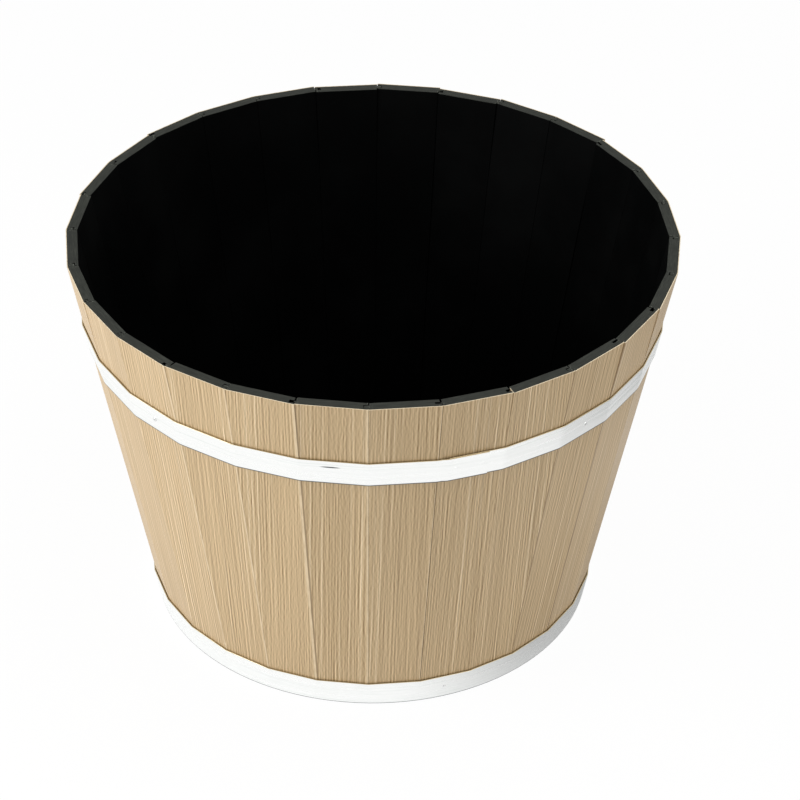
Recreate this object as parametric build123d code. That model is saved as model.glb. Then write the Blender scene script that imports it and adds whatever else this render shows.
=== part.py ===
from build123d import *
import os
from math import atan, cos, pi, sin, sqrt

# Half-barrel planter: 28 tapered staves joined by tongue and groove, bound by two riveted metal
# hoops, with a boarded floor held in a groove near the foot. Millimetres, +Z up, the origin at
# the centre of the foot.

# The tub
stave_count = 28
rim_radius = 330.0              # axis to the outer corners at the rim
foot_radius = 245.0             # axis to the outer corners at the foot
pot_height = 450.0

# The staves
board_thickness = 12.0          # skin included
skin_thickness = 0.6            # oak-look skin on the outer face
seam_gap = 0.2                  # hairline between the outer lips of two staves
inner_gap = 0.8                 # wider gap between their inner lips
tongue_depth = 4.0              # from the outer corner to the tongue, along the joint
tongue_thickness = 4.0
tongue_length = 5.0
tongue_side_clearance = 0.2
tongue_end_clearance = 2.0

# The hoops
hoop_width = 32.0               # width of the strip, along the slope of the wall
hoop_thickness = 2.0
hoop_clearance = 0.1            # between the strip and the staves
upper_hoop_drop = 75.0          # rim down to the upper hoop's top edge
lower_hoop_lift = 0.5           # ground up to the lower hoop's bottom edge
lap_gap = 0.1                   # between the strip's two ends, where one lies on the other
joggle_margin = 3.5             # from a bend to where the outer end starts to step out
joggle_length = 6.0             # length of that step
joggle_clearance = 1.0          # from the step to the inner end
upper_lap_margin = 17.0         # from the outer end to the next bend
lower_lap_margin = 6.0
upper_lap_facet = 22            # facet that carries the lap, counted from 0 at +X
lower_lap_facet = 12

# The rivets in each lap
rivet_radius = 2.0
rivet_head_radius = 3.2
rivet_head_height = 1.0
rivet_end_distance = 6.5        # rivet to the nearer end of the lap
rivet_clearance = 0.05

# The nails that pin each hoop to a stave every quarter turn
nail_radius = 1.0
nail_cover = 4.0                # board left under the point
nail_point_length = 2.5
nail_head_radius = 2.4
nail_head_height = 0.9
nail_clearance = 0.05
nails_per_hoop = 4
upper_nail_facet = 24
lower_nail_facet = 22

# The floor
floor_lift = 30.0               # ground up to the underside of the floor boards
floor_thickness = 12.0
floor_board_count = 7
outer_board_width = 61.38       # the boards between the two outer ones share the rest equally
floor_groove_depth = 5.0        # cut into the staves, at the underside of the floor
floor_rebate = 3.0              # cut from the top of the floor's edge, which lies under the wall
floor_edge_clearance = 0.5
floor_top_clearance = 0.3
drain_radius = 6.0
drain_offset = 150.0            # drain holes of every other board, each side of the middle

# The battens under it and their screws
batten_width = 40.0
batten_thickness = 15.0
batten_spacing = 180.0
batten_end_clearance = 1.0
screw_radius = 2.0
screw_cover = 3.0               # floor board left above the point
screw_point_length = 4.0
screw_head_radius = 4.0
screw_head_height = 2.2
screw_clearance = 0.05
screw_margin = 8.0              # least distance from a screw to the end of its crossing
recess_length = 4.4
recess_width = 1.0
recess_depth = 1.2

# What follows from them
facet_angle = 2 * pi / stave_count
half_angle = facet_angle / 2
taper = (rim_radius - foot_radius) / pot_height
facet_tilt = atan(taper * cos(half_angle))
nail_step = stave_count // nails_per_hoop


def corner_radius(z):
    # Axis to the outer corners of the staves at a height.
    return foot_radius + taper * z


def wall_distance(z, inset):
    # Axis to a plane that lies inset under the outer face of a facet.
    return corner_radius(z) * cos(half_angle) - inset / cos(facet_tilt)


def joint_point(z, angle, depth, along):
    # A point on the joint between two staves: depth under its outer corner, along the tangent.
    radius = corner_radius(z) - depth
    return (radius * cos(angle) - along * sin(angle), radius * sin(angle) + along * cos(angle), z)


def lip_depth(inset, setback):
    # Depth along the joint where a face inset under the outer one meets a lip that is set back.
    return (inset / cos(facet_tilt) + setback * sin(half_angle)) / cos(half_angle)


def facet_point(z, facet, offset, across):
    # A point offset outside the outer face of a facet, across from the facet's middle line.
    angle = (facet + 0.5) * facet_angle
    radius = wall_distance(z, -offset)
    return (radius * cos(angle) - across * sin(angle), radius * sin(angle) + across * cos(angle), z)


def corner_point(z, corner, offset):
    # The corner between two facets that both lie offset outside the staves.
    return joint_point(z, corner * facet_angle, lip_depth(-offset, 0), 0)


def facet_plane(facet, z, across=0.0):
    # A plane on the outer face of a facet, its normal pointing out of the wall.
    angle = (facet + 0.5) * facet_angle
    along = (-sin(angle), cos(angle), 0)
    outward = (cos(angle) * cos(facet_tilt), sin(angle) * cos(facet_tilt), -sin(facet_tilt))
    return Plane(origin=facet_point(z, facet, 0, across), x_dir=along, z_dir=outward)


def outline(points):
    return make_face(Polyline(*points, close=True))


def between(section, bottom, top):
    # The solid between a section's outlines at two heights.
    return loft([outline(section(bottom)), outline(section(top))], ruled=True)


def prism(radius, bottom, top):
    # An upright prism with a corner at each joint of the staves.
    angles = [corner * facet_angle for corner in range(stave_count)]
    base = outline([(radius * cos(angle), radius * sin(angle), bottom) for angle in angles])
    return extrude(base, amount=top - bottom, dir=(0, 0, 1))


def turned(profile):
    # A body of revolution about Z from its half profile in (radius, height) points.
    return revolve(outline([(radius, 0, height) for radius, height in profile]), axis=Axis.Z)


def stave_core(facet):
    start = facet * facet_angle
    end = start + facet_angle
    lip = seam_gap / 2
    tongue_end = tongue_depth + tongue_thickness
    groove_top = tongue_depth - tongue_side_clearance
    groove_end = tongue_end + tongue_side_clearance
    groove = tongue_length + tongue_end_clearance

    def section(z):
        return [
            joint_point(z, end, lip_depth(skin_thickness, lip), -lip),
            joint_point(z, end, groove_top, -lip),
            joint_point(z, end, groove_top, -groove),
            joint_point(z, end, groove_end, -groove),
            joint_point(z, end, groove_end, -inner_gap),
            joint_point(z, end, lip_depth(board_thickness, inner_gap), -inner_gap),
            joint_point(z, start, lip_depth(board_thickness, lip), lip),
            joint_point(z, start, tongue_end, lip),
            joint_point(z, start, tongue_end, -tongue_length),
            joint_point(z, start, tongue_depth, -tongue_length),
            joint_point(z, start, tongue_depth, lip),
            joint_point(z, start, lip_depth(skin_thickness, lip), lip),
        ]

    return between(section, 0, pot_height)


def stave_skin(facet):
    start = facet * facet_angle
    end = start + facet_angle
    lip = seam_gap / 2

    def section(z):
        return [
            joint_point(z, start, lip_depth(0, lip), lip),
            joint_point(z, end, lip_depth(0, lip), -lip),
            joint_point(z, end, lip_depth(skin_thickness, lip), -lip),
            joint_point(z, start, lip_depth(skin_thickness, lip), lip),
        ]

    return between(section, 0, pot_height)


# Each hoop is one strip: it starts under the lap, goes once round and ends on top of its start.
# Its layers lie at these distances outside the staves.
under = hoop_clearance
over = under + hoop_thickness
raised = over + lap_gap
lap_stack = raised + hoop_thickness
strip_height = hoop_width * cos(facet_tilt)
upper_hoop_bottom = pot_height - upper_hoop_drop - strip_height


def lap_ends(bottom, lap_margin):
    # The lap's two ends, across from the middle line of the facet that carries it.
    half_facet = corner_radius(bottom) * sin(half_angle)
    start = joggle_margin + joggle_length + joggle_clearance - half_facet
    return start, half_facet - lap_margin


def hoop_strip(bottom, lap_facet, lap_margin):
    lap_start, lap_end = lap_ends(bottom, lap_margin)
    step_end = lap_start - joggle_clearance
    step_start = step_end - joggle_length
    corners = range(lap_facet + 1, lap_facet + stave_count + 1)

    def section(z):
        outside = [facet_point(z, lap_facet, over, lap_start)]
        outside += [corner_point(z, corner, over) for corner in corners]
        outside += [
            facet_point(z, lap_facet, over, step_start),
            facet_point(z, lap_facet, lap_stack, step_end),
            facet_point(z, lap_facet, lap_stack, lap_end),
        ]
        inside = [facet_point(z, lap_facet, under, lap_start)]
        inside += [corner_point(z, corner, under) for corner in corners]
        inside += [
            facet_point(z, lap_facet, under, step_start),
            facet_point(z, lap_facet, raised, step_end),
            facet_point(z, lap_facet, raised, lap_end),
        ]
        return outside + inside[::-1]

    return between(section, bottom, bottom + strip_height)


def rivet(clearance):
    # A flush rivet through both layers of a lap, its two heads sunk in the strip.
    shank = rivet_radius + clearance
    head = rivet_head_radius + clearance
    profile = [
        (0, under),
        (head, under),
        (shank, under + rivet_head_height),
        (shank, lap_stack - rivet_head_height),
        (head, lap_stack),
        (0, lap_stack),
    ]
    return turned(profile)


def nail(clearance):
    # A nail with a domed head that lies on the strip. With a clearance it is the hole for it.
    shank = nail_radius + clearance
    tip = nail_cover - board_thickness - clearance
    shaft = turned([(0, tip), (shank, tip + nail_point_length), (shank, over), (0, over)])
    if clearance > 0:
        return shaft
    middle = (0, 0, over)
    top = (0, 0, over + nail_head_height)
    edge = (nail_head_radius, 0, over)
    dome = [Line(middle, top), TangentArc(top, edge, tangent=(1, 0, 0)), Line(edge, middle)]
    return shaft + revolve(make_face(dome), axis=Axis.Z)


def nail_facets(first):
    return [(first + turn * nail_step) % stave_count for turn in range(nails_per_hoop)]


def nails(first, bottom, clearance):
    middle = bottom + strip_height / 2
    return {facet: facet_plane(facet, middle) * nail(clearance) for facet in nail_facets(first)}


def rivets(lap_facet, lap_margin, bottom, clearance):
    middle = bottom + strip_height / 2
    lap_start, lap_end = lap_ends(bottom, lap_margin)
    places = (lap_start + rivet_end_distance, lap_end - rivet_end_distance)
    return [facet_plane(lap_facet, middle, across) * rivet(clearance) for across in places]


def hoop(bottom, lap_facet, lap_margin, nail_facet):
    strip = hoop_strip(bottom, lap_facet, lap_margin)
    for hole in rivets(lap_facet, lap_margin, bottom, rivet_clearance):
        strip -= hole
    for hole in nails(nail_facet, bottom, nail_clearance).values():
        strip -= hole
    return strip


# The floor's rebated edge lies in a groove that is cut square into the tapered wall.
floor_top = floor_lift + floor_thickness
floor_edge_top = floor_top - floor_rebate
groove_distance = wall_distance(floor_lift, board_thickness) + floor_groove_depth
floor_distance = groove_distance - floor_edge_clearance
shoulder_distance = wall_distance(floor_edge_top, board_thickness) - floor_edge_clearance
groove_radius = groove_distance / cos(half_angle)
floor_radius = floor_distance / cos(half_angle)
shoulder_radius = shoulder_distance / cos(half_angle)
floor_board_width = 2 * (floor_distance - outer_board_width) / (floor_board_count - 2)
boards_each_side = floor_board_count // 2
board_numbers = range(-boards_each_side, boards_each_side + 1)
batten_bottom = floor_lift - batten_thickness
batten_reach = wall_distance(batten_bottom, board_thickness) - batten_end_clearance
batten_half_length = sqrt(batten_reach**2 - (batten_spacing / 2 + batten_width / 2) ** 2)


def floor_board_edges(number):
    low = (number - 0.5) * floor_board_width
    return low, low + floor_board_width


def floor_board(number):
    # Boards run along X. Each has a tongue on its low edge and a groove on its high one.
    low, high = floor_board_edges(number)
    lip = seam_gap / 2
    middle = floor_lift + floor_thickness / 2
    half_tongue = tongue_thickness / 2
    half_groove = half_tongue + tongue_side_clearance
    profile = [(low + lip, floor_lift), (high - lip, floor_lift)]
    if number < boards_each_side:
        groove = high - tongue_length - tongue_end_clearance
        profile += [
            (high - lip, middle - half_groove),
            (groove, middle - half_groove),
            (groove, middle + half_groove),
            (high - lip, middle + half_groove),
        ]
    profile += [(high - lip, floor_top), (low + lip, floor_top)]
    if number > -boards_each_side:
        profile += [
            (low + lip, middle + half_tongue),
            (low - tongue_length, middle + half_tongue),
            (low - tongue_length, middle - half_tongue),
            (low + lip, middle - half_tongue),
        ]
    face = outline([(-floor_radius, y, z) for y, z in profile])
    length = extrude(face, amount=2 * floor_radius, dir=(1, 0, 0))
    edge = prism(floor_radius, floor_lift, floor_edge_top)
    board = length & (edge + prism(shoulder_radius, floor_lift, floor_top))
    for x in drain_places(number):
        board -= Pos(x, (low + high) / 2, middle) * Cylinder(drain_radius, floor_thickness)
    for x, y in screw_places():
        if low < y < high:
            board -= Pos(x, y, 0) * floor_screw(screw_clearance)
    return board


def drain_places(number):
    # Staggered: one hole in the middle of every second board, two in those between.
    if abs(number) == boards_each_side:
        return ()
    return (0.0,) if number % 2 == 0 else (-drain_offset, drain_offset)


def screw_places():
    # One screw where each batten crosses each board, in the middle of the crossing.
    places = []
    for number in board_numbers:
        low, high = floor_board_edges(number)
        low = max(low, -batten_half_length)
        high = min(high, batten_half_length)
        if high - low > 2 * screw_margin:
            places += [(side * batten_spacing / 2, (low + high) / 2) for side in (-1, 1)]
    return places


def floor_screw(clearance):
    # A countersunk screw driven up through the batten, its head flush. With a clearance it is
    # the hole for it.
    head = screw_head_radius + clearance
    shank = screw_radius + clearance
    tip = floor_top - screw_cover + clearance
    profile = [
        (0, batten_bottom),
        (head, batten_bottom),
        (shank, batten_bottom + screw_head_height),
        (shank, tip - screw_point_length),
        (0, tip),
    ]
    screw = turned(profile)
    if clearance > 0:
        return screw
    bar = Box(recess_length, recess_width, 2 * recess_depth)
    cross = bar + Rot(0, 0, 90) * bar
    return screw - Pos(0, 0, batten_bottom) * cross


def floor_batten(side):
    x = side * batten_spacing / 2
    middle = batten_bottom + batten_thickness / 2
    batten = Pos(x, 0, middle) * Box(batten_width, 2 * batten_half_length, batten_thickness)
    for place_x, y in screw_places():
        if place_x * side > 0:
            batten -= Pos(place_x, y, 0) * floor_screw(screw_clearance)
    return batten


def write(name, *solids):
    shape = solids[0] if len(solids) == 1 else Compound(children=list(solids))
    export_step(shape, f"parts/{name}.step")


os.makedirs("parts", exist_ok=True)

hoops = {
    "upper_hoop": (upper_hoop_bottom, upper_lap_facet, upper_lap_margin, upper_nail_facet),
    "lower_hoop": (lower_hoop_lift, lower_lap_facet, lower_lap_margin, lower_nail_facet),
}
nail_holes = {facet: [] for facet in range(stave_count)}
for name, (bottom, lap_facet, lap_margin, nail_facet) in hoops.items():
    write(name, hoop(bottom, lap_facet, lap_margin, nail_facet))
    write(f"{name}_rivets", *rivets(lap_facet, lap_margin, bottom, 0))
    write(f"{name}_nails", *nails(nail_facet, bottom, 0).values())
    for facet, hole in nails(nail_facet, bottom, nail_clearance).items():
        nail_holes[facet].append(hole)

floor_groove = prism(groove_radius, floor_lift, floor_edge_top + floor_top_clearance)
skins = []
for facet in range(stave_count):
    core = stave_core(facet) - floor_groove
    skin = stave_skin(facet)
    for hole in nail_holes[facet]:
        core -= hole
        skin -= hole
    write(f"stave_{facet + 1:02d}", core)
    skins.append(skin)
write("stave_skins", *skins)

for place, number in enumerate(board_numbers, start=1):
    write(f"floor_board_{place}", floor_board(number))
write("floor_batten_left", floor_batten(-1))
write("floor_batten_right", floor_batten(1))
write("floor_screws", *[Pos(x, y, 0) * floor_screw(0) for x, y in screw_places()])
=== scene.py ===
import logging
import math
from contextlib import contextmanager
from dataclasses import dataclass, field
from enum import Enum
from typing import Callable, Iterator

import bmesh
import bpy
from mathutils import Matrix, Vector


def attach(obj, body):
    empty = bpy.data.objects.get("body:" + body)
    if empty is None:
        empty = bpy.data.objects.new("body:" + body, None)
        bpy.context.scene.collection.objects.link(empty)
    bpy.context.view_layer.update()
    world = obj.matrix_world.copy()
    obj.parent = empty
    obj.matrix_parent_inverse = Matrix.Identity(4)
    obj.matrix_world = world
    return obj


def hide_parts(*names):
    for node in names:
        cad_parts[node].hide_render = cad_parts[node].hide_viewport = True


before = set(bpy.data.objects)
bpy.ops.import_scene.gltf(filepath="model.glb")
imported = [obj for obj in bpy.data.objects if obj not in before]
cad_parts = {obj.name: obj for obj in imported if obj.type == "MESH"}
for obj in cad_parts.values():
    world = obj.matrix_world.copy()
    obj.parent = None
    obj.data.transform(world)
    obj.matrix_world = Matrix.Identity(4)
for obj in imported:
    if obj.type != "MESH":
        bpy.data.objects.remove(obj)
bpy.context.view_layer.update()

# Half-barrel planter: 28 black boards with a light oak film, bound by two bright metal hoops.
# Metres, +Z up, the origin at the centre of the foot.

LOG = logging.getLogger("half_barrel_planter")
MM = 0.001
SAME = 1e-5         # corners that are nearer to each other than this are one, in metres
SMOOTH_ANGLE = 50   # edges that turn by more degrees than this stay sharp
FLAT_WEIGHT = 90    # how much large faces rule the shading round them, in percent

Colour = tuple[float, float, float]
Place = tuple[float, float, float]
Pair = tuple[float, float]
Fade = tuple[float, float, float, float]    # a range of values, and what its two ends become
PlaceTest = Callable[[Vector], bool]


class Slot(Enum):
    """The record's material slots, named here for the new pieces but not given to them."""

    CORE = "black_core"
    FILM = "oak_skin"
    HOOP = "hoop_metal"
    RIVET = "rivet_metal"
    NAIL = "nail_steel"


class Side(Enum):
    """The two long edges of a stave: the tongue is on the start, the groove on the end."""

    START = -1
    END = 1


class Shaper:
    """Edit-mode tools for one piece. Each works on what was last picked, by place."""

    def __init__(self, piece: bpy.types.Object) -> None:
        """Keeps the piece that is shaped.

        Args:
            piece: the mesh object to shape.
        """
        self.piece = piece

    def _fresh(self) -> bmesh.types.BMesh:
        """Returns the edit mesh with nothing selected."""
        bpy.ops.mesh.select_mode(type="VERT")
        bpy.ops.mesh.select_all(action="DESELECT")
        return bmesh.from_edit_mesh(self.piece.data)

    def _show(self, picked: int) -> "Shaper":
        """Passes the selection on to the operators.

        Args:
            picked: how many elements were selected.

        Returns:
            The shaper, so that a tool can follow.
        """
        if not picked:
            raise ValueError(f"nothing picked on {self.piece.name}")
        bmesh.update_edit_mesh(self.piece.data)
        return self

    def corners(self, test: PlaceTest) -> "Shaper":
        """Picks the corners whose place passes the test.

        Args:
            test: says whether a corner at this place is wanted.

        Returns:
            The shaper, so that a tool can follow.
        """
        mesh = self._fresh()
        picked = [corner for corner in mesh.verts if test(corner.co)]
        for corner in picked:
            corner.select_set(True)
        mesh.select_flush(True)
        return self._show(len(picked))

    def edges(self, test: Callable[[Vector, Vector], bool]) -> "Shaper":
        """Picks the edges whose two ends pass the test.

        Args:
            test: says whether an edge between these two places is wanted.

        Returns:
            The shaper, so that a tool can follow.
        """
        mesh = self._fresh()
        bpy.ops.mesh.select_mode(type="EDGE")
        picked = [edge for edge in mesh.edges if test(edge.verts[0].co, edge.verts[1].co)]
        for edge in picked:
            edge.select_set(True)
        return self._show(len(picked))

    def faces(self, test: PlaceTest) -> "Shaper":
        """Picks the faces whose middle passes the test.

        Args:
            test: says whether a face with its middle at this place is wanted.

        Returns:
            The shaper, so that a tool can follow.
        """
        mesh = self._fresh()
        bpy.ops.mesh.select_mode(type="FACE")
        picked = [face for face in mesh.faces if test(face.calc_center_median())]
        for face in picked:
            face.select_set(True)
        return self._show(len(picked))

    def all(self) -> "Shaper":
        """Picks everything."""
        bpy.ops.mesh.select_all(action="SELECT")
        return self

    def where(self) -> Vector:
        """Returns the place of the one corner that is picked."""
        return next(corner.co.copy() for corner in bmesh.from_edit_mesh(self.piece.data).verts
                    if corner.select)

    def move(self, offset: Vector) -> None:
        """Moves what is picked by an offset."""
        bpy.ops.transform.translate(value=offset)

    def scale(self, factors: Vector, about: Vector) -> None:
        """Scales what is picked about a point."""
        bpy.ops.transform.resize(value=factors, center_override=about)

    def extrude(self, offset: Vector) -> None:
        """Extrudes what is picked by an offset."""
        bpy.ops.mesh.extrude_region_move(TRANSFORM_OT_translate={"value": offset})

    def draw_on(self, offset: Vector) -> None:
        """Extrudes single corners by an offset, as a new run of edges."""
        bpy.ops.mesh.extrude_vertices_move(TRANSFORM_OT_translate={"value": offset})

    def cut(self, point: Vector, normal: Vector) -> None:
        """Cuts what is picked along a plane."""
        bpy.ops.mesh.bisect(plane_co=point, plane_no=normal)

    def bevel(self, width: float, segments: int) -> None:
        """Rounds the picked edges."""
        bpy.ops.mesh.bevel(offset=width, segments=segments, affect="EDGES")

    def inset(self, width: float) -> None:
        """Insets the picked faces."""
        bpy.ops.mesh.inset(thickness=width)


def pick_only(piece: bpy.types.Object | None = None) -> None:
    """Deselects everything and picks one piece, or none before a primitive is added."""
    bpy.ops.object.select_all(action="DESELECT")
    if piece:
        piece.select_set(True)
        bpy.context.view_layer.objects.active = piece


@contextmanager
def shaping(piece: bpy.types.Object) -> Iterator[Shaper]:
    """Opens a piece in edit mode, alone selected, and closes it afterwards.

    Args:
        piece: the mesh object to shape.

    Yields:
        The tools for it.
    """
    pick_only(piece)
    bpy.ops.object.mode_set(mode="EDIT")
    yield Shaper(piece)
    bpy.ops.object.mode_set(mode="OBJECT")


def settled(name: str) -> bpy.types.Object:
    """Names the new primitive and puts its place into its mesh.

    Args:
        name: the piece's name.

    Returns:
        The piece, at the origin, unturned and unscaled.
    """
    piece = bpy.context.object
    piece.name = name
    bpy.ops.object.transform_apply(location=True, rotation=True, scale=True)
    return piece


def finish_with(piece: bpy.types.Object, kind: str, **settings: object) -> None:
    """Adds a modifier and applies it.

    Args:
        piece: the piece to work on.
        kind: the modifier's type.
        **settings: its settings by name.
    """
    pick_only(piece)
    modifier = piece.modifiers.new(kind.title(), kind)
    for name, value in settings.items():
        setattr(modifier, name, value)
    bpy.ops.object.modifier_apply(modifier=modifier.name)


def soften(piece: bpy.types.Object, width: float, segments: int, angle: float = 35.0) -> None:
    """Rounds a piece's sharp edges and shades it smooth.

    Args:
        piece: the piece to work on.
        width: the width of the rounding.
        segments: steps across the rounding.
        angle: edges that turn by more than this many degrees are rounded.
    """
    finish_with(piece, "BEVEL", width=width, segments=segments, limit_method="ANGLE",
                angle_limit=math.radians(angle), harden_normals=False, use_clamp_overlap=True)
    smooth(piece)


def smooth(piece: bpy.types.Object) -> None:
    """Shades a piece smooth over its small faces, with large faces flat."""
    pick_only(piece)
    bpy.ops.object.shade_smooth_by_angle(angle=math.radians(SMOOTH_ANGLE))
    finish_with(piece, "WEIGHTED_NORMAL", weight=FLAT_WEIGHT, keep_sharp=True)


def copy_of(piece: bpy.types.Object, name: str, place: Matrix) -> bpy.types.Object:
    """Copies a piece with its own mesh and moves that mesh.

    Args:
        piece: the piece to copy.
        name: the copy's name.
        place: where the copy's mesh goes.

    Returns:
        The copy.
    """
    twin = piece.copy()
    twin.data = piece.data.copy()
    twin.name = name
    bpy.context.scene.collection.objects.link(twin)
    twin.data.transform(place)
    return twin


@dataclass(frozen=True)
class Noise:
    """A noise: its cells in a metre, how many finer layers it has and how strong those are."""

    cells: float = 1.0
    layers: float = 2.0
    rough: float = 0.5


class NodeBench:
    """A material's node tree, with short ways to add and join its nodes."""

    def __init__(self, name: str) -> None:
        """Starts an empty material with one principled shader.

        Args:
            name: the material's name.
        """
        self.material = bpy.data.materials.new(name)
        self.material.use_nodes = True
        self.tree = self.material.node_tree
        self.shader = self.tree.nodes["Principled BSDF"]

    def node(self, kind: str, **settings: object) -> bpy.types.Node:
        """Adds a node.

        Args:
            kind: the node's type, without its leading word.
            **settings: its settings by name.

        Returns:
            The node.
        """
        node = self.tree.nodes.new(f"ShaderNode{kind}")
        for name, value in settings.items():
            setattr(node, name, value)
        return node

    def feed(self, socket: bpy.types.NodeSocket, value: object) -> None:
        """Sets a socket, or links it where the value is another node's output."""
        if isinstance(value, bpy.types.NodeSocket):
            self.tree.links.new(value, socket)
        else:
            socket.default_value = value

    def math(self, operation: str, *values: object) -> bpy.types.NodeSocket:
        """Joins numbers by one operation.

        Args:
            operation: the operation's name.
            *values: numbers or outputs.

        Returns:
            The result's output.
        """
        node = self.node("Math", operation=operation)
        for socket, value in zip(node.inputs, values):
            self.feed(socket, value)
        return node.outputs[0]

    def vector(self, x: object, y: object, z: object) -> bpy.types.NodeSocket:
        """Returns a vector made of three numbers or outputs."""
        node = self.node("CombineXYZ")
        for socket, value in zip(node.inputs, (x, y, z)):
            self.feed(socket, value)
        return node.outputs[0]

    def stretch(self, parts: tuple[object, ...], scales: tuple[float, ...]) -> bpy.types.NodeSocket:
        """Returns a vector made of three numbers or outputs, each multiplied by its scale."""
        return self.vector(*(self.math("MULTIPLY", part, scale) for part, scale in zip(parts, scales)))

    def apart(self, vector: bpy.types.NodeSocket) -> tuple[bpy.types.NodeSocket, ...]:
        """Returns the three numbers of a vector."""
        node = self.node("SeparateXYZ")
        self.feed(node.inputs[0], vector)
        return tuple(node.outputs)

    def length(self, vector: bpy.types.NodeSocket) -> bpy.types.NodeSocket:
        """Returns the length of a vector."""
        node = self.node("VectorMath", operation="LENGTH")
        self.feed(node.inputs[0], vector)
        return node.outputs["Value"]

    def place(self) -> bpy.types.NodeSocket:
        """Returns the place on the piece, in metres."""
        return self.node("TexCoord").outputs["Object"]

    def on_map(self, name: str) -> tuple[bpy.types.NodeSocket, ...]:
        """Returns the two numbers of a UV map."""
        return self.apart(self.node("UVMap", uv_map=name).outputs[0])[:2]

    def noise(self, vector: bpy.types.NodeSocket, noise: Noise = Noise()) -> bpy.types.NodeSocket:
        """Adds a noise over a vector.

        Args:
            vector: where the noise is read.
            noise: how fine and how rough it is.

        Returns:
            The noise's output, about 0.5.
        """
        node = self.node("TexNoise", noise_dimensions="3D")
        self.feed(node.inputs["Vector"], vector)
        self.feed(node.inputs["Scale"], noise.cells)
        self.feed(node.inputs["Detail"], noise.layers)
        self.feed(node.inputs["Roughness"], noise.rough)
        return node.outputs["Fac"]

    def span(self, value: bpy.types.NodeSocket, low: float, high: float, out_low: float = 0.0,
             out_high: float = 1.0, kind: str = "SMOOTHSTEP") -> bpy.types.NodeSocket:
        """Maps a range of values to another.

        Args:
            value: the output to map.
            low: start of its range.
            high: end of its range.
            out_low: what the start becomes.
            out_high: what the end becomes.
            kind: how values between are blended.

        Returns:
            The mapped output.
        """
        node = self.node("MapRange", interpolation_type=kind)
        for socket, number in zip(node.inputs, (value, low, high, out_low, out_high)):
            self.feed(socket, number)
        return node.outputs[0]

    def mix(self, factor: object, first: object, second: object,
            blend: str = "MIX") -> bpy.types.NodeSocket:
        """Mixes two colours.

        Args:
            factor: how much of the second is used.
            first: a colour or an output.
            second: a colour or an output.
            blend: the way they are blended.

        Returns:
            The mixed colour.
        """
        node = self.node("Mix", data_type="RGBA", blend_type=blend)
        sockets = {socket.identifier: socket for socket in node.inputs}
        self.feed(sockets["Factor_Float"], factor)
        self.feed(sockets["A_Color"], opaque(first))
        self.feed(sockets["B_Color"], opaque(second))
        return next(socket for socket in node.outputs if socket.identifier == "Result_Color")

    def bump(self, height: bpy.types.NodeSocket, strength: float, distance: float) -> None:
        """Gives the shader relief from a height.

        Args:
            height: the height's output, from 0 to 1.
            strength: how much of it shows.
            distance: the height that 1 stands for, in metres.
        """
        node = self.node("Bump")
        self.feed(node.inputs["Height"], height)
        self.feed(node.inputs["Strength"], strength)
        self.feed(node.inputs["Distance"], distance)
        self.feed(self.shader.inputs["Normal"], node.outputs[0])

    def dress(self, **sockets: object) -> bpy.types.Material:
        """Sets or links the shader's sockets.

        Args:
            **sockets: values or outputs by socket name, with _ for each space.

        Returns:
            The finished material.
        """
        for name, value in sockets.items():
            self.feed(self.shader.inputs[name.replace("_", " ")], opaque(value))
        return self.material


def opaque(value: object) -> object:
    """Returns a plain colour with full opacity, and anything else as it is."""
    return (*value, 1.0) if isinstance(value, tuple) and len(value) == 3 else value


GRAIN = "grain"     # UV map of the boards: across in metres plus the board's number, and along
EDGES = "edges"     # UV map of the boards: how many line widths away the end and start edges are


@dataclass(frozen=True)
class Streak:
    """One layer of the grain: its cells in a metre across and along, and how strong it is."""

    fine: float
    long: float
    strength: float


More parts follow.
